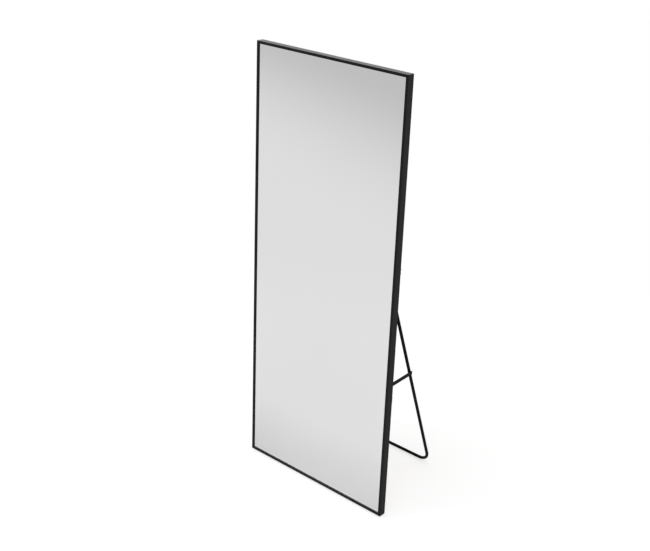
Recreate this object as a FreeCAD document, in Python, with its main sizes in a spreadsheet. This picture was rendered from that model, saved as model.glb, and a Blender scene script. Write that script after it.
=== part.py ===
import FreeCAD, Part
import math
import os
import re

import Sketcher

# A tall framed mirror that stands on the floor and leans back a little.  A U-shaped tube behind
# it is the leg.  The leg hinges on a crossbar of the frame, and two flat stays with hooks hold
# it open.  Lifting the hooks off their studs lets the leg fold flat against the frame.
#
# Everything is in millimetres and degrees.  X runs along the frame's width, Y to the back and
# Z up.  The pieces are drawn in three local frames, which the places below put on the floor:
#   mirror  Y = 0 on the frame's front face, Z = 0 under its bottom rail, leaning back
#   leg     the hinge axis is the X axis, and the leg hangs down along -Z
#   stay    the stay's own pivot is the X axis, and the stay runs level along +Y

# ---------------------------------------------------------------------------------- sizes

SIZES = {
    # the frame and the section of its rails
    "frame_width": 610,
    "frame_height": 1500,
    "frame_depth": 26,
    "face_width": 9,
    "edge_round": 0.8,
    "rail_wall": 1.5,
    "glass_recess": 3,
    "rear_slot": 3.4,
    # the layers that the rails hold, from the front
    "glass_thickness": 4,
    "film_thickness": 0.3,
    "foam_thickness": 3.7,
    "board_thickness": 5,
    "edge_gap": 2,
    "foam_width": 14,
    "block_length": 40,
    "block_inset": 110,
    # how it stands
    "lean_angle": 3.5,
    "pad_height": 3,
    "pad_length": 40,
    "pad_inset": 30,
    "pad_front": 7,
    "pad_back": 2,
    # the corner keys in the rails' rear channel
    "key_length": 38,
    "key_thickness": 3,
    "channel_play": 0.2,
    "set_screw_inset": 24,
    "set_screw_radius": 1.5,
    "set_screw_sink": 2,
    "set_screw_socket": 0.85,
    # the crossbars, the screws and what they turn into
    "bar_height": 25,
    "bar_thickness": 3,
    "bar_end_gap": 2,
    "bar_corner": 3,
    "nut_plate_length": 24,
    "nut_plate_thickness": 3,
    "screw_spread": 14,
    "screw_radius": 1.5,
    "screw_head_radius": 2.8,
    "screw_head_height": 2,
    "screw_tip": 1,
    "socket_radius": 1.2,
    "socket_depth": 1.2,
    "screw_hole_play": 0.2,
    "thread_play": 0.05,
    # the leg and its hinges
    "hinge_height": 885,
    "hinge_setback": 15,
    "leg_opening": 20.4,
    "leg_inset": 70.5,
    "tube_radius": 5.5,
    "tube_wall": 1.2,
    "bend_radius": 45,
    "tube_overrun": 9,
    "plug_depth": 4.5,
    "plug_dome": 1.5,
    "bracket_sheet": 2,
    "hinge_base_width": 44,
    "hinge_base_height": 22,
    "hinge_screw_pitch": 34,
    "ear_radius": 8,
    "ear_gap": 1.1,
    "washer_thickness": 0.8,
    "washer_radius": 5.5,
    "bolt_radius": 2.5,
    "bolt_head_radius": 4.7,
    "bolt_head_height": 2.8,
    "bolt_head_round": 1.6,
    "bolt_tip": 1,
    "nut_width": 8,
    "nut_height": 4.5,
    "pivot_play": 0.08,
    # the floor bar's sleeve
    "sleeve_wall": 1,
    "sleeve_length": 80,
    # the stays, their brackets, rivets and studs
    "stay_height": 435,
    "stay_setback": 14,
    "stay_width": 14,
    "stay_thickness": 2,
    "stay_side_gap": 1.5,
    "stay_tail": 3.8,
    "stay_tail_round": 1.2,
    "hook_slant": 55,
    "hook_play": 0.25,
    "running_gap": 0.3,
    "stay_base_width": 32,
    "stay_base_height": 20,
    "stay_screw_first": 9,
    "stay_screw_pitch": 14,
    "rivet_radius": 2.5,
    "rivet_head_radius": 4.5,
    "rivet_head_height": 0.8,
    "rivet_head_round": 0.5,
    "stud_radius": 1.8,
    "stud_core_radius": 1.4,
    "stud_collar_radius": 3,
    "stud_head_radius": 2.8,
    "stud_head_height": 1,
}

# What follows from the sizes.  Each line may use the sizes and the lines above it.
PLACES = {
    "half_width": "frame_width / 2",
    # the rail's section, as depths from the front face and distances from the outer face
    "film_front": "glass_recess + glass_thickness",
    "foam_front": "film_front + film_thickness",
    "board_front": "foam_front + foam_thickness",
    "web_front": "board_front + board_thickness",
    "web_back": "web_front + rail_wall",
    "lip_front": "frame_depth - rail_wall",
    "slot_middle": "face_width / 2",
    "glass_edge": "rail_wall + edge_gap",
    "bar_back": "frame_depth + bar_thickness",
    "base_back": "bar_back + bracket_sheet",
    # the pivots, in the mirror's frame
    "hinge_y": "frame_depth + hinge_setback",
    "stay_y": "frame_depth + stay_setback",
    "swing": "leg_opening - lean_angle",
    "leg_half": "half_width - leg_inset",
    # the stay is level, so it meets the leg where a level line from its pivot does
    "stay_reach": "(cos(leg_opening) * (hinge_y - stay_y)"
                  " + sin(leg_opening) * (hinge_height - stay_height)) / cos(swing)",
    "stud_drop": "(cos(lean_angle) * (hinge_height - stay_height)"
                 " - sin(lean_angle) * (hinge_y - stay_y)) / cos(swing)",
    # the frame stands on its pads, and the leg is as long as it takes to reach the floor
    "frame_lift": "pad_height + frame_depth * sin(lean_angle)",
    "floor_radius": "tube_radius + sleeve_wall",
    "hinge_level": "frame_lift - hinge_y * sin(lean_angle) + hinge_height * cos(lean_angle)",
    "stay_level": "frame_lift - stay_y * sin(lean_angle) + stay_height * cos(lean_angle)",
    "leg_length": "(hinge_level - floor_radius) / cos(swing)",
    "hinge_back": "hinge_y * cos(lean_angle) + hinge_height * sin(lean_angle)",
    "stay_back": "stay_y * cos(lean_angle) + stay_height * sin(lean_angle)",
    "footprint": "hinge_back + leg_length * sin(swing) + floor_radius",
    # the leg, the stay and their brackets side by side, as distances from the middle
    "tube_inner": "leg_half - tube_radius",
    "tube_outer": "leg_half + tube_radius",
    "inner_ear": "tube_inner - ear_gap",
    "outer_ear": "tube_outer + ear_gap",
    "stay_inner": "tube_outer + stay_side_gap",
    "stay_outer": "stay_inner + stay_thickness",
    "stay_ear": "stay_outer + running_gap",
}

# Extra length on a cut, so that it runs clear of the faces it cuts.
CUT_MARGIN = 5
# Corners of a hexagon, in degrees round it.
HEXAGON = (0, 60, 120, 180, 240, 300)

SIDES = {"left": -1, "right": 1}
CORNERS = {
    "bottom_left": ("-half_width", "0", 1, 1),
    "bottom_right": ("half_width", "0", -1, 1),
    "top_left": ("-half_width", "frame_height", 1, -1),
    "top_right": ("half_width", "frame_height", -1, -1),
}

OWNERS = {name: "Sheet." for name in SIZES}
OWNERS.update({name: "Places." for name in PLACES})


def formula(text):
    """The text with each size and place named in full, such as Sheet.face_width."""
    return re.sub(r"[a-z_]+", lambda word: OWNERS.get(word.group(), "") + word.group(), str(text))


def start_document():
    """A document with the sizes in a spreadsheet and the places worked out from them."""
    document = FreeCAD.newDocument("floor_mirror")
    sheet = document.addObject("Spreadsheet::Sheet", "Sheet")
    for row, (name, size) in enumerate(SIZES.items(), start=1):
        sheet.set(f"A{row}", name)
        sheet.set(f"B{row}", str(size))
        sheet.setAlias(f"B{row}", name)
    document.recompute()
    places = document.addObject("App::VarSet", "Places")
    for name, text in PLACES.items():
        places.addProperty("App::PropertyFloat", name, "Places")
        places.setExpression(name, formula(text))
    document.recompute()
    return document


doc = start_document()
pieces = []
cuts = []


def number(text):
    """The value of a formula."""
    return float(doc.Sheet.evalExpression(formula(text)))


# ------------------------------------------------------------------- bodies, sketches, features

FRAMES = {
    "mirror": ("-footprint / 2", "frame_lift", "-lean_angle"),
    "leg": ("hinge_back - footprint / 2", "hinge_level", "swing"),
    "stay": ("stay_back - footprint / 2", "stay_level", "0"),
}


def new_piece(label, frame="mirror"):
    """An empty body that stands in one of the three local frames."""
    body = doc.addObject("PartDesign::Body", label)
    body.Label = label
    back, up, angle = FRAMES[frame]
    where = f"placement(vector(0; {back}; {up}); rotation(vector(1; 0; 0); {angle}))"
    body.setExpression("Placement", formula(where))
    pieces.append(body)
    return body


def new_sketch(body, plane, start="0", across="0", up="0"):
    """A sketch on an origin plane, moved to start along the plane's axis.

    Sketch x and y are X and Y on XY, X and Z on XZ, and Y and Z on YZ.
    """
    sketch = body.newObject("Sketcher::SketchObject", body.Name + "_sketch")
    support = [item for item in body.Origin.OriginFeatures if item.Role == plane + "_Plane"]
    sketch.AttachmentSupport = [(support[0], "")]
    sketch.MapMode = "FlatFace"
    sign = "-1" if plane == "XZ" else "1"
    sketch.setExpression("AttachmentOffset.Base.x", formula(across))
    sketch.setExpression("AttachmentOffset.Base.y", formula(up))
    sketch.setExpression("AttachmentOffset.Base.z", formula(f"{sign} * ({start})"))
    return sketch


def hold(sketch, kind, geometry, point, text):
    """A driving dimension bound to a formula."""
    if kind == "Radius":
        constraint = Sketcher.Constraint(kind, geometry, number(text))
    else:
        constraint = Sketcher.Constraint(kind, -1, 1, geometry, point, number(text))
    index = sketch.addConstraint(constraint)
    name = f"size_{index}"
    sketch.renameConstraint(index, name)
    sketch.setExpression("Constraints." + name, formula(text))


def arc_between(start, end, radius, turn):
    """The arc of less than half a turn from start to end; turn is 1 to the left, -1 right."""
    middle = (start + end) * 0.5
    chord = end - start
    rise = math.sqrt(max(radius ** 2 - (chord.Length / 2) ** 2, 0))
    centre = middle + FreeCAD.Vector(-chord.y, chord.x, 0).normalize() * rise * turn
    first, last = (start, end) if turn > 0 else (end, start)
    first_angle = math.atan2(first.y - centre.y, first.x - centre.x)
    last_angle = math.atan2(last.y - centre.y, last.x - centre.x)
    if last_angle < first_angle:
        last_angle += 2 * math.pi
    circle = Part.Circle(centre, FreeCAD.Vector(0, 0, 1), radius)
    return Part.ArcOfCircle(circle, first_angle, last_angle)


def draw_run(sketch, corners, closed):
    """Lines and arcs through the corners, each held by its two distances from the origin.

    A corner is (x, y), or (x, y, radius, turn) where an arc leads on to the next corner.
    """
    points = [FreeCAD.Vector(number(corner[0]), number(corner[1]), 0) for corner in corners]
    count = len(corners) if closed else len(corners) - 1
    drawn = []
    for place in range(count):
        start = points[place]
        end = points[(place + 1) % len(points)]
        corner = corners[place]
        if len(corner) == 2:
            geometry = sketch.addGeometry(Part.LineSegment(start, end), False)
            drawn.append((geometry, 1, 2))
        else:
            radius, turn = corner[2:]
            arc = arc_between(start, end, number(radius), turn)
            geometry = sketch.addGeometry(arc, False)
            hold(sketch, "Radius", geometry, 0, radius)
            drawn.append((geometry, 1, 2) if turn > 0 else (geometry, 2, 1))
    for place in range(count if closed else count - 1):
        geometry, first, last = drawn[place]
        following, next_first, next_last = drawn[(place + 1) % count]
        joint = Sketcher.Constraint("Coincident", geometry, last, following, next_first)
        sketch.addConstraint(joint)
    for place in range(count):
        geometry, first, last = drawn[place]
        hold(sketch, "DistanceX", geometry, first, corners[place][0])
        hold(sketch, "DistanceY", geometry, first, corners[place][1])
    if not closed:
        geometry, first, last = drawn[-1]
        hold(sketch, "DistanceX", geometry, last, corners[-1][0])
        hold(sketch, "DistanceY", geometry, last, corners[-1][1])


def draw_outline(sketch, corners):
    """A closed outline."""
    draw_run(sketch, corners, True)


def draw_rectangle(sketch, left, low, right, high):
    """A rectangle between two opposite corners."""
    draw_outline(sketch, [(left, low), (right, low), (right, high), (left, high)])


def draw_plate(sketch, left, low, right, high, radius):
    """A rectangle with rounded corners."""
    corners = [
        (f"{left} + {radius}", low),
        (f"{right} - {radius}", low, radius, 1),
        (right, f"{low} + {radius}"),
        (right, f"{high} - {radius}", radius, 1),
        (f"{right} - {radius}", high),
        (f"{left} + {radius}", high, radius, 1),
        (left, f"{high} - {radius}"),
        (left, f"{low} + {radius}", radius, 1),
    ]
    draw_outline(sketch, corners)


def draw_circle(sketch, across, up, radius):
    """A circle held by its centre and radius."""
    centre = FreeCAD.Vector(number(across), number(up), 0)
    circle = Part.Circle(centre, FreeCAD.Vector(0, 0, 1), number(radius))
    geometry = sketch.addGeometry(circle, False)
    hold(sketch, "Radius", geometry, 0, radius)
    hold(sketch, "DistanceX", geometry, 3, across)
    hold(sketch, "DistanceY", geometry, 3, up)


def draw_hexagon(sketch, across, up, radius):
    """A hexagon, where radius reaches its corners."""
    corners = []
    for angle in HEXAGON:
        corners.append((f"{across} + {radius} * cos({angle})", f"{up} + {radius} * sin({angle})"))
    draw_outline(sketch, corners)


def draw_ear(sketch, root, pivot, height):
    """A bracket's ear, seen from the side: straight from root, round about its pivot."""
    corners = [
        (root, f"{height} - ear_radius"),
        (pivot, f"{height} - ear_radius", "ear_radius", 1),
        (f"{pivot} + ear_radius", height, "ear_radius", 1),
        (pivot, f"{height} + ear_radius"),
        (root, f"{height} + ear_radius"),
    ]
    draw_outline(sketch, corners)


def pad(body, sketch, depth):
    """Extrude a sketch by depth along the plane's axis, towards its positive end."""
    feature = body.newObject("PartDesign::Pad", body.Name + "_pad")
    feature.Profile = sketch
    feature.setExpression("Length", formula(depth))
    feature.Reversed = "XZ_Plane" in sketch.AttachmentSupport[0][0].Role
    sketch.Visibility = False


def pocket(body, sketch, depth):
    """Cut a sketch into the body by depth, towards the positive end of the plane's axis."""
    base = body.Tip
    feature = body.newObject("PartDesign::Pocket", body.Name + "_cut")
    feature.Profile = sketch
    feature.setExpression("Length", formula(depth))
    feature.Reversed = "XZ_Plane" not in sketch.AttachmentSupport[0][0].Role
    cuts.append((base, feature))


def turn(body, sketch, axis="H_Axis"):
    """Turn a sketch once round one of its own axes."""
    feature = body.newObject("PartDesign::Revolution", body.Name + "_turned")
    feature.Profile = sketch
    feature.ReferenceAxis = (sketch, [axis])
    feature.Angle = 360


def axle_sketch(body, pivot, height):
    """A sketch whose x axis is a crosswise pin's own axis."""
    return new_sketch(body, "XZ", start=pivot, up=height)


# --------------------------------------------------------------------------------- the frame


def rail_section(sketch, place, hand):
    """The rails' section; place turns (distance from the outer face, depth) into sketch x, y.

    From the front: a solid lip with a rounded outer edge, the slot for the glass and its
    backing, and a channel that is open to the rear between two lips.  Hand is 1, or -1 where
    place mirrors the section.
    """
    inner_wall = "face_width - rail_wall"
    slot_out = "slot_middle - rear_slot / 2"
    slot_in = "slot_middle + rear_slot / 2"
    start = place("0", "edge_round") + ("edge_round", hand)
    outer = [
        ("edge_round", "0"),
        ("face_width", "0"),
        ("face_width", "glass_recess"),
        ("rail_wall", "glass_recess"),
        ("rail_wall", "web_front"),
        ("face_width", "web_front"),
        ("face_width", "frame_depth"),
        (slot_in, "frame_depth"),
        (slot_in, "lip_front"),
        (inner_wall, "lip_front"),
        (inner_wall, "web_back"),
        ("rail_wall", "web_back"),
        ("rail_wall", "lip_front"),
        (slot_out, "lip_front"),
        (slot_out, "frame_depth"),
        ("0", "frame_depth"),
    ]
    draw_outline(sketch, [start] + [place(distance, depth) for distance, depth in outer])


def at_corner(corner, along, up):
    """A point given by its distances inwards from one corner of the frame."""
    corner_x, corner_z, inwards, upwards = CORNERS[corner]
    return f"{corner_x} + {inwards} * ({along})", f"{corner_z} + {upwards} * ({up})"


def mitre(body, corner, level):
    """Cut one end of a rail at 45 degrees; level rails keep what lies below the diagonal."""
    far = f"face_width + {CUT_MARGIN}"
    near = str(-CUT_MARGIN)
    third = (near, far) if level else (far, near)
    sketch = new_sketch(body, "XZ", start=near)
    triangle = [(near, near), (far, far), third]
    draw_outline(sketch, [at_corner(corner, along, up) for along, up in triangle])
    pocket(body, sketch, f"frame_depth + {2 * CUT_MARGIN}")


def level_rail(name, place, hand, corners):
    """The top or the bottom rail."""
    body = new_piece(name)
    sketch = new_sketch(body, "YZ", start="-half_width")
    rail_section(sketch, place, hand)
    pad(body, sketch, "frame_width")
    for corner in corners:
        mitre(body, corner, True)


def upright_rail(name, place, hand, corners):
    """The left or the right rail."""
    body = new_piece(name)
    sketch = new_sketch(body, "XY")
    rail_section(sketch, place, hand)
    pad(body, sketch, "frame_height")
    for corner in corners:
        mitre(body, corner, False)


def rails():
    level_rail(
        "bottom_rail",
        lambda distance, depth: (depth, distance),
        -1,
        ("bottom_left", "bottom_right"),
    )
    level_rail(
        "top_rail",
        lambda distance, depth: (depth, f"frame_height - ({distance})"),
        1,
        ("top_left", "top_right"),
    )
    upright_rail(
        "left_rail",
        lambda distance, depth: (f"{distance} - half_width", depth),
        1,
        ("bottom_left", "top_left"),
    )
    upright_rail(
        "right_rail",
        lambda distance, depth: (f"half_width - ({distance})", depth),
        -1,
        ("bottom_right", "top_right"),
    )


def corner_key(corner):
    """An L-shaped plate that joins two rails inside their rear channel."""
    body = new_piece("corner_key_" + corner)
    outer = "rail_wall + channel_play"
    inner = "face_width - rail_wall - channel_play"
    shape = [
        (outer, outer),
        ("key_length", outer),
        ("key_length", inner),
        (inner, inner),
        (inner, "key_length"),
        (outer, "key_length"),
    ]
    sketch = new_sketch(body, "XZ", start="lip_front - key_thickness")
    draw_outline(sketch, [at_corner(corner, along, up) for along, up in shape])
    pad(body, sketch, "key_thickness")
    holes = new_sketch(body, "XZ", start="lip_front - key_thickness")
    for across, up in set_screw_places(corner):
        draw_circle(holes, across, up, "set_screw_radius + thread_play")
    pocket(body, holes, "key_thickness")


def set_screw_places(corner):
    """One set screw in each arm of a corner key."""
    return [
        at_corner(corner, "set_screw_inset", "slot_middle"),
        at_corner(corner, "slot_middle", "set_screw_inset"),
    ]


def set_screws():
    """The screws that stand on the channel's web and press the keys against its lips."""
    body = new_piece("corner_set_screws")
    places = [place for corner in CORNERS for place in set_screw_places(corner)]
    shanks = new_sketch(body, "XZ", start="web_back")
    for across, up in places:
        draw_circle(shanks, across, up, "set_screw_radius")
    end = "frame_depth - set_screw_sink"
    pad(body, shanks, f"{end} - web_back")
    sockets = new_sketch(body, "XZ", start=f"{end} - socket_depth")
    for across, up in places:
        draw_hexagon(sockets, across, up, "set_screw_socket")
    pocket(body, sockets, "socket_depth")


# ----------------------------------------------------------------------- glass and its backing


def sheet_layer(name, front, thickness):
    """A sheet as large as the glass, at one depth."""
    body = new_piece(name)
    sketch = new_sketch(body, "XZ", start=front)
    edge = "half_width - glass_edge"
    draw_rectangle(sketch, f"-({edge})", "glass_edge", edge, "frame_height - glass_edge")
    pad(body, sketch, thickness)


def foam_strip(name, left, low, right, high):
    """One strip of foam tape between the film and the board."""
    body = new_piece(name)
    sketch = new_sketch(body, "XZ", start="foam_front")
    draw_rectangle(sketch, left, low, right, high)
    pad(body, sketch, "foam_thickness")


def foam_strips():
    """Foam along the glass's four edges; the upright strips stand between the level ones."""
    edge = "half_width - glass_edge"
    inner = "half_width - glass_edge - foam_width"
    top = "frame_height - glass_edge"
    low = "glass_edge + foam_width"
    high = "frame_height - glass_edge - foam_width"
    foam_strip("foam_strip_bottom", f"-({edge})", "glass_edge", edge, low)
    foam_strip("foam_strip_top", f"-({edge})", high, edge, top)
    foam_strip("foam_strip_left", f"-({edge})", low, f"-({inner})", high)
    foam_strip("foam_strip_right", inner, low, edge, high)


def setting_block(name, side):
    """A block in the bottom rail's slot that carries the glass and the board."""
    body = new_piece(name)
    middle = f"{side} * (half_width - block_inset)"
    sketch = new_sketch(body, "XZ", start="glass_recess")
    left = f"{middle} - block_length / 2"
    right = f"{middle} + block_length / 2"
    draw_rectangle(sketch, left, "rail_wall", right, "glass_edge")
    pad(body, sketch, "web_front - glass_recess")


def foot_pad(name, side):
    """A rubber wedge under the bottom rail, flat on the floor although the frame leans."""
    body = new_piece(name)
    middle = f"{side} * (half_width - pad_inset - pad_length / 2)"
    sketch = new_sketch(body, "YZ", start=f"{middle} - pad_length / 2")
    rear = "frame_depth - pad_back"

    def floor(depth):
        return f"(({depth}) * sin(lean_angle) - frame_lift) / cos(lean_angle)"

    shape = [
        ("pad_front", floor("pad_front")),
        (rear, floor(rear)),
        (rear, "0"),
        ("pad_front", "0"),
    ]
    draw_outline(sketch, shape)
    pad(body, sketch, "pad_length")


# ------------------------------------------------------------------ crossbars and their fixings


def bar_screw_places(height):
    """Two screws in each end of a crossbar, in the side rails' rear slot."""
    places = []
    for side in SIDES.values():
        for step in (-1, 1):
            across = f"{side} * (half_width - slot_middle)"
            places.append((across, f"{height} + {step} * screw_spread / 2"))
    return places


def hinge_screw_places():
    """One screw on each side of a hinge bracket's ears."""
    places = []
    for side in SIDES.values():
        for step in (-1, 1):
            across = f"{side} * leg_half + {step} * hinge_screw_pitch / 2"
            places.append((across, "hinge_height"))
    return places


def stay_screw_places():
    """Two screws outside each stay bracket's ear."""
    places = []
    for side in SIDES.values():
        for step in (0, 1):
            across = f"{side} * (stay_ear + stay_screw_first + {step} * stay_screw_pitch)"
            places.append((across, "stay_height"))
    return places


def crossbar(name, height, bracket_places):
    """A flat bar across the back, screwed to both side rails."""
    body = new_piece(name)
    sketch = new_sketch(body, "XZ", start="frame_depth")
    end = "half_width - bar_end_gap"
    low = f"{height} - bar_height / 2"
    high = f"{height} + bar_height / 2"
    draw_plate(sketch, f"-({end})", low, end, high, "bar_corner")
    pad(body, sketch, "bar_thickness")
    holes = new_sketch(body, "XZ", start="frame_depth")
    for across, up in bar_screw_places(height):
        draw_circle(holes, across, up, "screw_radius + screw_hole_play")
    for across, up in bracket_places:
        draw_circle(holes, across, up, "screw_radius + thread_play")
    pocket(body, holes, "bar_thickness")


def nut_plates():
    """Threaded plates in the side rails' channel, behind the crossbars' ends."""
    body = new_piece("nut_plates")
    start = "lip_front - nut_plate_thickness"
    half = "(slot_middle - rail_wall - channel_play)"
    sketch = new_sketch(body, "XZ", start=start)
    holes = new_sketch(body, "XZ", start=start)
    for height in ("hinge_height", "stay_height"):
        for side in SIDES.values():
            middle = f"{side} * (half_width - slot_middle)"
            low = f"{height} - nut_plate_length / 2"
            high = f"{height} + nut_plate_length / 2"
            draw_rectangle(sketch, f"{middle} - {half}", low, f"{middle} + {half}", high)
        for across, up in bar_screw_places(height):
            draw_circle(holes, across, up, "screw_radius + thread_play")
    pad(body, sketch, "nut_plate_thickness")
    pocket(body, holes, "nut_plate_thickness")


def screws(name, places, seat, tip):
    """Socket screws whose heads sit at the depth seat and whose ends are at the depth tip."""
    body = new_piece(name)
    heads = new_sketch(body, "XZ", start=seat)
    shanks = new_sketch(body, "XZ", start=tip)
    sockets = new_sketch(body, "XZ", start=f"{seat} + screw_head_height - socket_depth")
    for across, up in places:
        draw_circle(heads, across, up, "screw_head_radius")
        draw_circle(shanks, across, up, "screw_radius")
        draw_hexagon(sockets, across, up, "socket_radius")
    pad(body, heads, "screw_head_height")
    pad(body, shanks, f"{seat} - ({tip})")
    pocket(body, sockets, "socket_depth")


def all_screws():
    bars = bar_screw_places("hinge_height") + bar_screw_places("stay_height")
    screws("crossbar_screws", bars, "bar_back", "lip_front - nut_plate_thickness - screw_tip")
    through = "frame_depth - screw_tip"
    screws("hinge_bracket_screws", hinge_screw_places(), "base_back", through)
    screws("stay_bracket_screws", stay_screw_places(), "base_back", through)


# -------------------------------------------------------------------------------- leg hinges


def outwards(side, first, last):
    """The two ends of a crosswise stretch, as (start, length) along +X."""
    start = first if side > 0 else f"-({last})"
    return start, f"{last} - ({first})"


def hinge_bracket(name, side):
    """A base plate on the upper crossbar with two ears that hold the leg's pivot bolt."""
    body = new_piece(name)
    base = new_sketch(body, "XZ", start="bar_back")
    left = f"{side} * leg_half - hinge_base_width / 2"
    right = f"{side} * leg_half + hinge_base_width / 2"
    low = "hinge_height - hinge_base_height / 2"
    high = "hinge_height + hinge_base_height / 2"
    draw_plate(base, left, low, right, high, "bar_corner")
    pad(body, base, "bracket_sheet")
    ears = (("inner_ear - bracket_sheet", "inner_ear"), ("outer_ear", "outer_ear + bracket_sheet"))
    for first, last in ears:
        start, thickness = outwards(side, first, last)
        ear = new_sketch(body, "YZ", start=start)
        draw_ear(ear, "bar_back", "hinge_y", "hinge_height")
        pad(body, ear, thickness)
    holes = new_sketch(body, "XZ", start="bar_back")
    for step in (-1, 1):
        across = f"{side} * leg_half + {step} * hinge_screw_pitch / 2"
        draw_circle(holes, across, "hinge_height", "screw_radius + screw_hole_play")
    pocket(body, holes, "bracket_sheet")
    first = f"inner_ear - bracket_sheet - {CUT_MARGIN}"
    start, depth = outwards(side, first, f"outer_ear + bracket_sheet + {CUT_MARGIN}")
    bore = new_sketch(body, "YZ", start=start)
    draw_circle(bore, "hinge_y", "hinge_height", "bolt_radius + pivot_play")
    pocket(body, bore, depth)


def round_head(seat, radius, height, rounding, side):
    """The corners of a pin's head with a rounded rim, from where it sits out to the axis."""
    return [
        (seat, radius),
        (f"{seat} + {height} - {rounding}", radius, rounding, -side),
        (f"{seat} + {height}", f"{radius} - {rounding}"),
        (f"{seat} + {height}", "0"),
    ]


def hinge_bolt(name, side):
    """A button-headed bolt through both ears and the leg tube, its head on the outside."""
    body = new_piece(name)
    sketch = axle_sketch(body, "hinge_y", "hinge_height")
    seat = "outer_ear + bracket_sheet"
    tip = "inner_ear - bracket_sheet - nut_height - bolt_tip"
    shape = [
        (tip, "0"),
        (tip, "bolt_radius"),
        (seat, "bolt_radius"),
    ] + round_head(seat, "bolt_head_radius", "bolt_head_height", "bolt_head_round", side)
    draw_outline(sketch, [(f"{side} * ({corner[0]})",) + corner[1:] for corner in shape])
    turn(body, sketch)


def hinge_nut(name, side):
    """The lock nut on the bolt's inner end."""
    body = new_piece(name)
    start, depth = outwards(
        side, "inner_ear - bracket_sheet - nut_height", "inner_ear - bracket_sheet"
    )
    sketch = new_sketch(body, "YZ", start=start)
    draw_hexagon(sketch, "hinge_y", "hinge_height", "nut_width / 2 / cos(30)")
    draw_circle(sketch, "hinge_y", "hinge_height", "bolt_radius + thread_play")
    pad(body, sketch, depth)


def hinge_washers():
    """Nylon washers that keep the leg tube off the ears."""
    body = new_piece("hinge_washers")
    sketch = axle_sketch(body, "hinge_y", "hinge_height")
    stretches = (
        ("inner_ear", "inner_ear + washer_thickness"),
        ("outer_ear - washer_thickness", "outer_ear"),
    )
    for side in SIDES.values():
        for first, last in stretches:
            left = f"{side} * ({first})"
            right = f"{side} * ({last})"
            draw_rectangle(sketch, left, "bolt_radius + pivot_play", right, "washer_radius")
    turn(body, sketch)


# ----------------------------------------------------------------------------------- the leg


def leg_tube():
    """One tube bent into a U: two long sides and the bar that stands on the floor."""
    body = new_piece("leg_tube", "leg")
    path = new_sketch(body, "XZ")
    run = [
        ("-leg_half", "tube_overrun"),
        ("-leg_half", "bend_radius - leg_length", "bend_radius", 1),
        ("bend_radius - leg_half", "-leg_length"),
        ("leg_half - bend_radius", "-leg_length", "bend_radius", 1),
        ("leg_half", "bend_radius - leg_length"),
        ("leg_half", "tube_overrun"),
    ]
    draw_run(path, run, False)
    section = new_sketch(body, "XY", start="tube_overrun")
    draw_circle(section, "-leg_half", "0", "tube_radius")
    draw_circle(section, "-leg_half", "0", "tube_radius - tube_wall")
    doc.recompute()
    pipe = body.newObject("PartDesign::AdditivePipe", "leg_tube_pipe")
    pipe.Profile = section
    pipe.Spine = (path, [])
    doc.recompute()
    bores = (
        ("0", "bolt_radius + pivot_play"),
        ("-stud_drop", "stud_core_radius + thread_play"),
    )
    for height, radius in bores:
        bore = new_sketch(body, "YZ", start=f"-tube_outer - {CUT_MARGIN}")
        draw_circle(bore, "0", height, radius)
        pocket(body, bore, f"2 * tube_outer + {2 * CUT_MARGIN}")


def leg_end_plug(name, side):
    """A domed plug in the top of one side of the tube."""
    body = new_piece(name, "leg")
    sketch = new_sketch(body, "XZ", across=f"{side} * leg_half")
    insert = "tube_radius - tube_wall - thread_play"
    bottom = "tube_overrun - plug_depth"
    dome_radius = "(tube_radius * tube_radius + plug_dome * plug_dome) / (2 * plug_dome)"
    shape = [
        ("0", bottom),
        (insert, bottom),
        (insert, "tube_overrun"),
        ("tube_radius", "tube_overrun", dome_radius, 1),
        ("0", "tube_overrun + plug_dome"),
    ]
    draw_outline(sketch, shape)
    turn(body, sketch, "V_Axis")


def floor_sleeve():
    """A rubber sleeve round the middle of the floor bar, where the leg touches the floor."""
    body = new_piece("floor_sleeve", "leg")
    sketch = axle_sketch(body, "0", "-leg_length")
    inside = "tube_radius + thread_play"
    draw_rectangle(sketch, "-sleeve_length / 2", inside, "sleeve_length / 2", "floor_radius")
    turn(body, sketch)


def stay_stud(name, side):
    """A stud riveted through the leg tube; the stay's hook drops between collar and head."""
    body = new_piece(name, "leg")
    sketch = axle_sketch(body, "0", "-stud_drop")
    collar_end = "stay_inner - running_gap"
    head = "stay_outer + running_gap"
    shape = [
        ("tube_inner - rivet_head_height", "0"),
        ("tube_inner - rivet_head_height", "stud_collar_radius"),
        ("tube_inner", "stud_collar_radius"),
        ("tube_inner", "stud_core_radius"),
        ("tube_outer", "stud_core_radius"),
        ("tube_outer", "stud_collar_radius"),
        (collar_end, "stud_collar_radius"),
        (collar_end, "stud_radius"),
        (head, "stud_radius"),
    ] + round_head(head, "stud_head_radius", "stud_head_height", "rivet_head_round", side)
    draw_outline(sketch, [(f"{side} * ({corner[0]})",) + corner[1:] for corner in shape])
    turn(body, sketch)


# ---------------------------------------------------------------------------------- the stays


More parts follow.
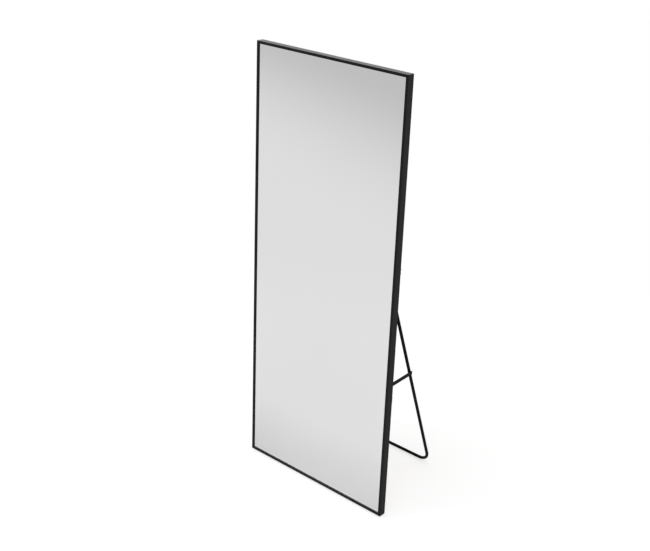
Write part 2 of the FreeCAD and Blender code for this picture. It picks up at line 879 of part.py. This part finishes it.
def stay_bracket(name, side):
    """A base plate on the lower crossbar with one ear, outside the stay."""
    body = new_piece(name)
    start, width = outwards(side, "stay_ear", "stay_ear + stay_base_width")
    base = new_sketch(body, "XZ", start="bar_back")
    low = "stay_height - stay_base_height / 2"
    high = "stay_height + stay_base_height / 2"
    draw_plate(base, start, low, f"{start} + {width}", high, "bracket_sheet / 2")
    pad(body, base, "bracket_sheet")
    start, thickness = outwards(side, "stay_ear", "stay_ear + bracket_sheet")
    ear = new_sketch(body, "YZ", start=start)
    draw_ear(ear, "bar_back", "stay_y", "stay_height")
    pad(body, ear, thickness)
    holes = new_sketch(body, "XZ", start="bar_back")
    for step in (0, 1):
        across = f"{side} * (stay_ear + stay_screw_first + {step} * stay_screw_pitch)"
        draw_circle(holes, across, "stay_height", "screw_radius + screw_hole_play")
    pocket(body, holes, "bracket_sheet")
    bore = new_sketch(body, "YZ", start=start)
    draw_circle(bore, "stay_y", "stay_height", "rivet_radius + thread_play")
    pocket(body, bore, thickness)


def stay_rivet(name, side):
    """The rivet that a stay turns on, headed inside the stay and outside the ear."""
    body = new_piece(name)
    sketch = axle_sketch(body, "stay_y", "stay_height")
    inner = "stay_inner - running_gap"
    outer = "stay_ear + bracket_sheet"
    shape = [
        (f"{inner} - rivet_head_height", "0"),
        (f"{inner} - rivet_head_height", "rivet_head_radius"),
        (inner, "rivet_head_radius"),
        (inner, "rivet_radius"),
        (outer, "rivet_radius"),
    ] + round_head(outer, "rivet_head_radius", "rivet_head_height", "rivet_head_round", side)
    draw_outline(sketch, [(f"{side} * ({corner[0]})",) + corner[1:] for corner in shape])
    turn(body, sketch)


def stay(name, side):
    """A flat bar that turns on its rivet and hooks over the leg's stud.

    The hook is open below.  Its rear wall stops the leg from opening, and its front wall slants
    out of the stud's way as the stay is lifted and the leg comes in.
    """
    body = new_piece(name, "stay")
    half = "stay_width / 2"
    hook = "(stud_radius + hook_play)"
    end = "stay_reach + stay_tail"
    lip = f"stay_reach - {hook} * sin(hook_slant)"
    mouth = f"{lip} - ({half} + {hook} * cos(hook_slant)) / tan(hook_slant)"
    shape = [
        ("0", f"-{half}"),
        (mouth, f"-{half}"),
        (lip, f"{hook} * cos(hook_slant)", hook, -1),
        ("stay_reach", hook, hook, -1),
        (f"stay_reach + {hook}", "0"),
        (f"stay_reach + {hook}", f"-{half}"),
        (f"{end} - stay_tail_round", f"-{half}", "stay_tail_round", 1),
        (end, f"stay_tail_round - {half}"),
        (end, f"{half} - stay_tail_round", "stay_tail_round", 1),
        (f"{end} - stay_tail_round", half),
        ("0", half, half, 1),
        (f"-{half}", "0", half, 1),
    ]
    start, thickness = outwards(side, "stay_inner", "stay_outer")
    sketch = new_sketch(body, "YZ", start=start)
    draw_outline(sketch, shape)
    draw_circle(sketch, "0", "0", "rivet_radius + pivot_play")
    pad(body, sketch, thickness)


# ------------------------------------------------------------------------- building and writing


def build():
    """Every piece, in the order in which they would be laid out on a bench."""
    rails()
    for corner in CORNERS:
        corner_key(corner)
    set_screws()
    sheet_layer("mirror_glass", "glass_recess", "glass_thickness")
    sheet_layer("shatter_film", "film_front", "film_thickness")
    foam_strips()
    sheet_layer("back_board", "board_front", "board_thickness")
    crossbar("upper_crossbar", "hinge_height", hinge_screw_places())
    crossbar("lower_crossbar", "stay_height", stay_screw_places())
    nut_plates()
    all_screws()
    hinge_washers()
    leg_tube()
    floor_sleeve()
    for name, side in SIDES.items():
        setting_block("setting_block_" + name, side)
        foot_pad("foot_pad_" + name, side)
        hinge_bracket("hinge_bracket_" + name, side)
        hinge_bolt("hinge_bolt_" + name, side)
        hinge_nut("hinge_nut_" + name, side)
        stay_bracket("stay_bracket_" + name, side)
        stay_rivet("stay_rivet_" + name, side)
        leg_end_plug("leg_end_plug_" + name, side)
        stay_stud("stay_stud_" + name, side)
        stay("stay_" + name, side)
    doc.recompute()


def check():
    """Stop if anything failed, is empty or broken, or if a cut took nothing away."""
    for item in doc.Objects:
        if "Invalid" in item.State or "Error" in item.State:
            raise RuntimeError(f"{item.Label} failed: {item.State}")
    for body in pieces:
        if body.Shape.isNull() or not body.Shape.isValid() or not body.Shape.Solids:
            raise RuntimeError(f"{body.Label} has no valid solid")
    for base, cut in cuts:
        if cut.Shape.Volume >= base.Shape.Volume:
            raise RuntimeError(f"{cut.Label} cuts nothing")


def write():
    """One STEP file for each piece, and the places that others need to know."""
    os.makedirs("parts", exist_ok=True)
    for body in pieces:
        body.Shape.exportStep(f"parts/{body.Label}.step")
        print(f"{body.Label}: {len(body.Shape.Solids)} solid(s), {body.Shape.Volume:.1f} mm3")
    back = number("hinge_back - footprint / 2")
    print(f"leg hinge axis: Y {back:.3f}, Z {number('hinge_level'):.3f}")
    back = number("stay_back - footprint / 2")
    print(f"stay pivot axis: Y {back:.3f}, Z {number('stay_level'):.3f}")
    print(f"leg length {number('leg_length'):.3f}, stay reach {number('stay_reach'):.3f}")


build()
check()
write()
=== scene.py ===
import math

import bpy
from mathutils import Matrix, Vector


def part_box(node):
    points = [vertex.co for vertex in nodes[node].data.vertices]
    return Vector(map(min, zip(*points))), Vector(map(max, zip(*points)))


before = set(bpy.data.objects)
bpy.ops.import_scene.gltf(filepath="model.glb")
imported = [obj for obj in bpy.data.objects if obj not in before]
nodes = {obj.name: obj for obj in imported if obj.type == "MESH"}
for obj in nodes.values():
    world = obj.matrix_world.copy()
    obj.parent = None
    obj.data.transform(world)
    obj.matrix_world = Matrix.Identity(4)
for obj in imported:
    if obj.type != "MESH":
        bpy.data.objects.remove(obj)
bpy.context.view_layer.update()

# A leaning floor mirror in a satin black frame, in a pale studio.  Everything is in metres, in
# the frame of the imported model: X along the mirror's width, Y to its back and Z up.

scene = bpy.context.scene

# ------------------------------------------------------------------------------------- camera

# Where the photograph was taken from, worked out from the frame's edges in it.
CAMERA_PLACE = (2.2305, -2.5692, 2.3815)
CAMERA_AZIMUTH = 42.258
CAMERA_FALL = 25.762
CAMERA_ROLL = -0.331
PHOTO_WIDTH = 650
FOCAL_PIXELS = 1128.5
SENSOR_WIDTH = 36.0


def place_camera():
    camera = bpy.data.objects.new("camera", bpy.data.cameras.new("camera"))
    scene.collection.objects.link(camera)
    camera.data.sensor_width = SENSOR_WIDTH
    camera.data.lens = FOCAL_PIXELS * SENSOR_WIDTH / PHOTO_WIDTH
    camera.data.clip_start = 0.05
    camera.data.clip_end = 200
    turn = Matrix.Rotation(math.radians(CAMERA_AZIMUTH), 4, "Z")
    tilt = Matrix.Rotation(math.radians(90 - CAMERA_FALL), 4, "X")
    roll = Matrix.Rotation(math.radians(CAMERA_ROLL), 4, "Z")
    camera.matrix_world = Matrix.Translation(CAMERA_PLACE) @ turn @ tilt @ roll
    scene.camera = camera


# ------------------------------------------------------------------------------ shader helpers


class Nodes:
    """A shader's node tree, with short calls for the nodes that the finishes share."""

    def __init__(self, tree, output):
        self.tree = tree
        self.tree.nodes.clear()
        self.output = self.node(output)

    def node(self, kind, **settings):
        made = self.tree.nodes.new(kind)
        for name, value in settings.items():
            setattr(made, name, value)
        return made

    def link(self, source, target):
        self.tree.links.new(source, target)

    def put(self, socket, value):
        """Set an input to a value or a grey or colour, or link it to another node's output."""
        if isinstance(value, bpy.types.NodeSocket):
            self.link(value, socket)
        elif isinstance(value, tuple) and len(value) == 3 and socket.type == "RGBA":
            socket.default_value = (*value, 1)
        else:
            socket.default_value = value

    def place(self, stretch=(1, 1, 1)):
        """Where a point is on the object, in metres, stretched along its axes."""
        coordinates = self.node("ShaderNodeTexCoord")
        mapping = self.node("ShaderNodeMapping")
        mapping.inputs["Scale"].default_value = stretch
        self.link(coordinates.outputs["Object"], mapping.inputs["Vector"])
        return mapping.outputs["Vector"]

    def noise(self, scale, detail=3, roughness=0.5, stretch=(1, 1, 1)):
        """Clouds whose lumps are about 1 / scale metres wide."""
        texture = self.node("ShaderNodeTexNoise")
        self.put(texture.inputs["Vector"], self.place(stretch))
        self.put(texture.inputs["Scale"], scale)
        self.put(texture.inputs["Detail"], detail)
        self.put(texture.inputs["Roughness"], roughness)
        return texture.outputs["Fac"]

    def cells(self, scale, stretch=(1, 1, 1)):
        """How far a point is from the middle of its cell; the cells are about 1 / scale wide."""
        texture = self.node("ShaderNodeTexVoronoi")
        self.put(texture.inputs["Vector"], self.place(stretch))
        self.put(texture.inputs["Scale"], scale)
        return texture.outputs["Distance"]

    def spread(self, value, low, high, low_in=0.3, high_in=0.7, smooth=False):
        """A value from one range brought into another."""
        ranged = self.node("ShaderNodeMapRange")
        if smooth:
            ranged.interpolation_type = "SMOOTHSTEP"
        self.put(ranged.inputs["Value"], value)
        self.put(ranged.inputs["From Min"], low_in)
        self.put(ranged.inputs["From Max"], high_in)
        self.put(ranged.inputs["To Min"], low)
        self.put(ranged.inputs["To Max"], high)
        return ranged.outputs["Result"]

    def choose(self, factor, first, second):
        """A number between two numbers."""
        mixed = self.node("ShaderNodeMix")
        self.put(mixed.inputs[0], factor)
        self.put(mixed.inputs[2], first)
        self.put(mixed.inputs[3], second)
        return mixed.outputs[0]

    def mix(self, factor, first, second):
        """A colour between two colours."""
        mixed = self.node("ShaderNodeMix", data_type="RGBA")
        self.put(mixed.inputs[0], factor)
        self.put(mixed.inputs[6], first)
        self.put(mixed.inputs[7], second)
        return mixed.outputs[2]

    def bump(self, height, distance, strength, under=None):
        """A normal roughened by a height, on top of another normal where one is given."""
        made = self.node("ShaderNodeBump")
        self.put(made.inputs["Height"], height)
        self.put(made.inputs["Distance"], distance)
        self.put(made.inputs["Strength"], strength)
        if under is not None:
            self.put(made.inputs["Normal"], under)
        return made.outputs["Normal"]


def new_shader(name):
    material = bpy.data.materials.new(name)
    material.use_nodes = True
    return material, Nodes(material.node_tree, "ShaderNodeOutputMaterial")


def close_shader(shader, **inputs):
    """The Principled shader, with its inputs named by their labels with _ for a space."""
    surface = shader.node("ShaderNodeBsdfPrincipled")
    for name, value in inputs.items():
        shader.put(surface.inputs[name.replace("_", " ")], value)
    shader.link(surface.outputs["BSDF"], shader.output.inputs["Surface"])


# ---------------------------------------------------------------------------------- finishes


def powder_coat(name, dark, light, sheen, specular):
    """Satin black paint, baked on: a fine orange peel, and a sheen that varies a little."""
    material, shader = new_shader(name)
    cloud = shader.noise(9, detail=5, roughness=0.6)
    peel = shader.noise(520, detail=1)
    low, high = sheen
    close_shader(
        shader,
        Base_Color=shader.mix(shader.spread(cloud, 0, 1), dark, light),
        Roughness=shader.spread(cloud, low, high),
        Specular_IOR_Level=specular,
        Normal=shader.bump(peel, 0.00008, 0.4),
    )
    return material


def mirror_silver():
    """Silvered glass, with a trace of haze that varies over it."""
    material, shader = new_shader("mirror_silver")
    cloud = shader.noise(2.5, detail=4)
    close_shader(
        shader,
        Base_Color=shader.mix(cloud, (0.85, 0.851, 0.85), (0.866, 0.867, 0.866)),
        Metallic=1.0,
        Roughness=shader.spread(cloud, 0.0, 0.015),
    )
    return material


def shatter_film():
    """White woven-looking safety film, glued on with a few shallow wrinkles."""
    material, shader = new_shader("shatter_film_white")
    weave = shader.cells(900)
    wrinkle = shader.noise(18, detail=4, stretch=(1, 1, 0.3))
    close_shader(
        shader,
        Base_Color=shader.mix(weave, (0.66, 0.66, 0.65), (0.76, 0.76, 0.75)),
        Roughness=shader.spread(wrinkle, 0.42, 0.6),
        Normal=shader.bump(wrinkle, 0.0004, 0.5),
    )
    return material


def foam_tape():
    """Closed-cell foam tape."""
    material, shader = new_shader("foam_tape_grey")
    cells = shader.cells(1300)
    close_shader(
        shader,
        Base_Color=shader.mix(cells, (0.2, 0.2, 0.21), (0.29, 0.29, 0.3)),
        Roughness=shader.spread(cells, 0.8, 0.95, 0, 0.6),
        Normal=shader.bump(cells, 0.0003, 0.8),
    )
    return material


def hardboard():
    """Hardboard: pressed brown fibres with darker and paler flecks under a faint sheen."""
    material, shader = new_shader("hardboard_brown")
    cloud = shader.noise(5, detail=6, roughness=0.65)
    fibre = shader.noise(420, detail=5, roughness=0.75)
    strand = shader.noise(160, detail=4, roughness=0.7, stretch=(1, 1, 0.22))
    fleck = shader.cells(260, stretch=(1, 1, 0.45))
    ground = shader.mix(shader.spread(cloud, 0, 1), (0.205, 0.118, 0.06), (0.275, 0.165, 0.09))
    stranded = shader.mix(shader.spread(strand, 0, 0.55, 0.45, 0.75), ground, (0.36, 0.23, 0.13))
    fibrous = shader.mix(shader.spread(fibre, 0, 0.6, 0.5, 0.75), stranded, (0.13, 0.07, 0.033))
    flecked = shader.mix(shader.spread(fleck, 0.7, 0, 0.02, 0.16), fibrous, (0.1, 0.055, 0.027))
    pressed = shader.bump(fibre, 0.00012, 0.6)
    close_shader(
        shader,
        Base_Color=flecked,
        Roughness=shader.spread(strand, 0.52, 0.72),
        Specular_IOR_Level=0.35,
        Normal=shader.bump(strand, 0.0002, 0.5, pressed),
    )
    return material


def soft_rubber():
    """Matt black rubber with a fine grain and a little dust."""
    material, shader = new_shader("rubber_black_matt")
    grain = shader.noise(1100, detail=3)
    dust = shader.noise(60, detail=6, roughness=0.7)
    close_shader(
        shader,
        Base_Color=shader.mix(
            shader.spread(dust, 0, 1, 0.45, 0.8), (0.009, 0.009, 0.009), (0.03, 0.029, 0.028)
        ),
        Roughness=shader.spread(dust, 0.62, 0.85),
        Specular_IOR_Level=0.3,
        Normal=shader.bump(grain, 0.0001, 0.5),
    )
    return material


def moulded(name, dark, light, roughness):
    """Moulded plastic with a fine spark-eroded texture."""
    material, shader = new_shader(name)
    spark = shader.noise(1600, detail=3)
    cloud = shader.noise(45, detail=3)
    low, high = roughness
    close_shader(
        shader,
        Base_Color=shader.mix(cloud, dark, light),
        Roughness=shader.spread(cloud, low, high),
        Normal=shader.bump(spark, 0.00005, 0.5),
    )
    return material


def zinc_plate():
    """Bright zinc plating on steel: fine drawn lines, with a faint straw and blue bloom."""
    material, shader = new_shader("zinc_plated_steel")
    bloom = shader.noise(70, detail=4)
    lines = shader.noise(900, detail=3, stretch=(1, 1, 0.06))
    scuff = shader.noise(300, detail=6, roughness=0.75)
    tone = shader.mix(shader.spread(bloom, 0, 1), (0.56, 0.57, 0.6), (0.66, 0.64, 0.58))
    close_shader(
        shader,
        Base_Color=shader.mix(shader.spread(scuff, 0, 0.5, 0.5, 0.75), tone, (0.42, 0.43, 0.45)),
        Metallic=1.0,
        Roughness=shader.spread(lines, 0.26, 0.42),
        Normal=shader.bump(lines, 0.00004, 0.5),
    )
    return material


BLACK = ((0.0028, 0.0028, 0.0029), (0.0048, 0.0048, 0.005))
# The same satin black made paler, for the crossbars and brackets on the back: painted light for pieces
# that sit in dim light.
BACK_PIECES_PAINTED_LIGHTER_BLACK = ((0.007, 0.007, 0.0072), (0.011, 0.011, 0.0113))


def make_finishes():
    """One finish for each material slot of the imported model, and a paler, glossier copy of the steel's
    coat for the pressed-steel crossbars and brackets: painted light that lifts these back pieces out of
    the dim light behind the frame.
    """
    return {
        "frame_black": powder_coat("frame_satin_black", *BLACK, (0.34, 0.42), 0.15),
        "steel_black": powder_coat("steel_satin_black", *BLACK, (0.3, 0.38), 0.085),
        # Paler colour and stronger specular than the steel's own coat: painted light for the back pieces.
        "back_pieces_painted_lighter_black": powder_coat("back_pieces_painted_lighter_satin_black", *BACK_PIECES_PAINTED_LIGHTER_BLACK, (0.3, 0.4), 0.4),
        "mirror_glass": mirror_silver(),
        "film_white": shatter_film(),
        "foam_grey": foam_tape(),
        "board_brown": hardboard(),
        "rubber_black": soft_rubber(),
        "nylon_white": moulded("nylon_natural", (0.66, 0.64, 0.58), (0.74, 0.72, 0.66), (0.4, 0.5)),
        "plastic_black": moulded("plastic_black", (0.006, 0.006, 0.006), (0.01, 0.01, 0.01), (0.35, 0.5)),
        "zinc_steel": zinc_plate(),
    }


# ------------------------------------------------------------------------------ rounded edges

# How far each kind of piece has its sharp edges rounded, in metres.  A piece whose name starts
# with one of these takes that one; the rest keep their edges.
ROUNDINGS = {
    "bottom_rail": 0.0003,
    "top_rail": 0.0003,
    "left_rail": 0.0003,
    "right_rail": 0.0003,
    "back_board": 0.0004,
    "upper_crossbar": 0.0004,
    "lower_crossbar": 0.0004,
    "crossbar_screws": 0.0002,
    "hinge_bracket": 0.0003,
    "stay_bracket": 0.0003,
    "hinge_bolt": 0.0003,
    "hinge_nut": 0.0003,
    "hinge_washers": 0.0002,
    "stay": 0.0003,
    "leg_end_plug": 0.0002,
    "floor_sleeve": 0.0003,
    "foot_pad": 0.0005,
    "setting_block": 0.0003,
    "corner_key": 0.0003,
}
WELD_REACH = 0.00001
FLAT_ANGLE = math.radians(0.5)
EDGE_ANGLE = math.radians(35)


def smooth_group():
    """Geometry nodes that mark every face as smooth, for the bevels' normals to work on."""
    group = bpy.data.node_groups.new("smooth", "GeometryNodeTree")
    group.interface.new_socket("Geometry", in_out="INPUT", socket_type="NodeSocketGeometry")
    group.interface.new_socket("Geometry", in_out="OUTPUT", socket_type="NodeSocketGeometry")
    entry = group.nodes.new("NodeGroupInput")
    smooth = group.nodes.new("GeometryNodeSetShadeSmooth")
    leave = group.nodes.new("NodeGroupOutput")
    group.links.new(entry.outputs[0], smooth.inputs["Geometry"])
    group.links.new(smooth.outputs[0], leave.inputs[0])
    return group


def round_edges():
    """Round the CAD nodes' sharp edges a little, so that they catch the light as real ones do."""
    group = smooth_group()
    for name, node in nodes.items():
        sizes = [size for start, size in ROUNDINGS.items() if name.startswith(start)]
        if not sizes:
            continue
        weld = node.modifiers.new("weld", "WELD")
        weld.merge_threshold = WELD_REACH
        flat = node.modifiers.new("flat", "DECIMATE")
        flat.decimate_type = "DISSOLVE"
        flat.angle_limit = FLAT_ANGLE
        smooth = node.modifiers.new("smooth", "NODES")
        smooth.node_group = group
        bevel = node.modifiers.new("edges", "BEVEL")
        bevel.width = sizes[0]
        bevel.segments = 2
        bevel.limit_method = "ANGLE"
        bevel.angle_limit = EDGE_ANGLE
        normals = node.modifiers.new("normals", "WEIGHTED_NORMAL")
        normals.mode = "FACE_AREA_WITH_ANGLE"


def dress_nodes():
    finishes = make_finishes()
    for name, node in nodes.items():
        slot = node.material_slots[0]
        # Crossbars and brackets share the steel's coat; they take its paler copy, painted light for the
        # dim back.
        pressed = "crossbar" in name or "bracket" in name
        coated = slot.material.name == "steel_black"
        slot.material = finishes["back_pieces_painted_lighter_black" if pressed and coated else slot.material.name]


# -------------------------------------------------------------------------- floor, light, air

FLOOR_HALF = 60.0
# Brightness of the floor and the air as the camera sees them; 1 is white.
WHITE = 1.0

# The matt floor near the object: how pale it is, and the glow that brings the part that the
# camera sees up to white around the object's shadow.
FLOOR_PALE = (0.8, 0.8, 0.8)
FLOOR_SEEN = (0.6, 0.6, 0.6)
FLOOR_LIFT = 0.64
# The glow of that floor in the mirror, away from the mirror's foot and at it, and how far in front of the
# foot the change begins. The lower glow at the foot is painted shade: it darkens the floor that the
# mirror shows near its foot.
MIRRORED_LIFT = 0.28
MIRRORED_LIFT_IN_PAINTED_FOOT_SHADE = 0.17
PAINTED_FOOT_SHADE_REACH = 0.38
# Where the matt floor starts to give way to the glowing one, and where it has done so.
MATT_END = 0.9
GLOW_START = 2.6

# The glowing floor further out, as the mirror shows it: its brightness near and far, the way in which it
# falls off, and where along that way, in metres. This fall-off is painted light: the glow darkens towards
# the front, as a floor does away from the light.
MIRRORED_NEAR = 0.844
MIRRORED_FAR = 0.6
FADE_WAY = (0.361, -0.932, 0.0)
FADE_START = 1.7
FADE_END = 4.3
# How bright the glowing floor is for the light that it throws on the object.
FLOOR_LIGHT = 0.6

# The air: its brightness in reflections at the horizon and above it, how high it stops rising,
# and how bright it is for the light that it throws on the object.
AIR_LOW = 0.6
AIR_HIGH = 0.78
AIR_RISE = 0.2
AIR_LIGHT = 0.46

# Each lamp's place, the point that it faces, its width and height, and its radiance.
LAMPS = {
    "back_light": ((-3.7, 4.1, 2.6), (0, 0, 1.4), 3.2, 2.2, 1.2),
    "front_light": ((-3.0, -3.2, 3.0), (0, 0, 0.3), 1.8, 1.4, 5.5),
    "rear_fill": ((3.2, 3.8, 2.6), (0, 0, 0.8), 2.4, 2.0, 1.6),
    "over_light": ((1.0, -1.0, 5.0), (0, 0, 0.5), 3.0, 3.0, 1.2),
}


def make_floor():
    """A pale floor: white to the camera, and fading to the front where the mirror shows it.

    Near the object it is matt and holds the object's shadow; further out it glows, evenly for the camera.
    The fading in the mirror is a painted fall-off of light, and the floor that the mirror shows near its
    foot carries painted shade.
    """
    mesh = bpy.data.meshes.new("floor")
    reach = FLOOR_HALF
    corners = [(-reach, -reach, 0), (reach, -reach, 0), (reach, reach, 0), (-reach, reach, 0)]
    mesh.from_pydata(corners, [], [(0, 1, 2, 3)])
    floor = bpy.data.objects.new("floor", mesh)
    scene.collection.objects.link(floor)
    material, shader = new_shader("pale_floor")
    path = shader.node("ShaderNodeLightPath")
    camera_ray = path.outputs["Is Camera Ray"]
    mirror_ray = path.outputs["Is Glossy Ray"]
    position = shader.node("ShaderNodeNewGeometry")
    length = shader.node("ShaderNodeVectorMath", operation="LENGTH")
    shader.link(position.outputs["Position"], length.inputs[0])
    distance = length.outputs["Value"]
    way = shader.node("ShaderNodeVectorMath", operation="DOT_PRODUCT")
    shader.link(position.outputs["Position"], way.inputs[0])
    way.inputs[1].default_value = FADE_WAY
    split = shader.node("ShaderNodeSeparateXYZ")
    shader.link(position.outputs["Position"], split.inputs[0])
    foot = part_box("bottom_rail")[0][1]

    matt = shader.node("ShaderNodeBsdfDiffuse")
    shader.put(matt.inputs["Color"], shader.mix(camera_ray, FLOOR_PALE, FLOOR_SEEN))
    lift = shader.node("ShaderNodeEmission")
    # The floor's glow for mirror rays, lowered towards the mirror's foot: painted shade near the foot.
    mirrored = shader.spread(
        split.outputs["Y"],
        MIRRORED_LIFT,
        MIRRORED_LIFT_IN_PAINTED_FOOT_SHADE,
        foot - PAINTED_FOOT_SHADE_REACH,
        foot,
        smooth=True,
    )
    unseen_lift = shader.choose(mirror_ray, 0.0, mirrored)
    shader.put(lift.inputs["Strength"], shader.choose(camera_ray, unseen_lift, FLOOR_LIFT))
    near = shader.node("ShaderNodeAddShader")
    shader.link(matt.outputs[0], near.inputs[0])
    shader.link(lift.outputs[0], near.inputs[1])

    # Painted fall-off of light: for mirror rays the glow darkens towards the front.
    fading = shader.spread(
        way.outputs["Value"], MIRRORED_NEAR, MIRRORED_FAR, FADE_START, FADE_END, smooth=True
    )
    unseen = shader.choose(mirror_ray, FLOOR_LIGHT, fading)
    glow = shader.node("ShaderNodeEmission")
    shader.put(glow.inputs["Strength"], shader.choose(camera_ray, unseen, WHITE))

    blend = shader.node("ShaderNodeMixShader")
    far = shader.spread(distance, 0, 1, MATT_END, GLOW_START, smooth=True)
    shader.put(blend.inputs["Fac"], far)
    shader.link(near.outputs[0], blend.inputs[1])
    shader.link(glow.outputs[0], blend.inputs[2])
    shader.link(blend.outputs[0], shader.output.inputs["Surface"])
    mesh.materials.append(material)


def soft_box(name, place, aim, width, height, radiance):
    """An area lamp whose face has the given radiance."""
    lamp = bpy.data.lights.new(name, "AREA")
    lamp.shape = "RECTANGLE"
    lamp.size = width
    lamp.size_y = height
    lamp.energy = radiance * math.pi * width * height
    box = bpy.data.objects.new(name, lamp)
    scene.collection.objects.link(box)
    box.location = place
    box.rotation_euler = (Vector(aim) - Vector(place)).to_track_quat("-Z", "Y").to_euler()
    box.visible_camera = False


def light_air():
    """White air for the camera, and a studio that brightens upwards for everything else."""
    world = bpy.data.worlds.new("air")
    scene.world = world
    world.use_nodes = True
    air = Nodes(world.node_tree, "ShaderNodeOutputWorld")
    path = air.node("ShaderNodeLightPath")
    coordinates = air.node("ShaderNodeTexCoord")
    split = air.node("ShaderNodeSeparateXYZ")
    air.link(coordinates.outputs["Generated"], split.inputs[0])
    studio = air.spread(split.outputs["Z"], AIR_LOW, AIR_HIGH, 0.0, AIR_RISE, smooth=True)
    lit = air.choose(path.outputs["Is Glossy Ray"], AIR_LIGHT, studio)
    back = air.node("ShaderNodeBackground")
    air.put(back.inputs["Color"], (1.0, 1.0, 1.0))
    air.put(back.inputs["Strength"], air.choose(path.outputs["Is Camera Ray"], lit, WHITE))
    air.link(back.outputs[0], air.output.inputs[0])


place_camera()
dress_nodes()
round_edges()
make_floor()
light_air()
for lamp_name, lamp_settings in LAMPS.items():
    soft_box(lamp_name, *lamp_settings)
scene.view_settings.view_transform = "Standard"
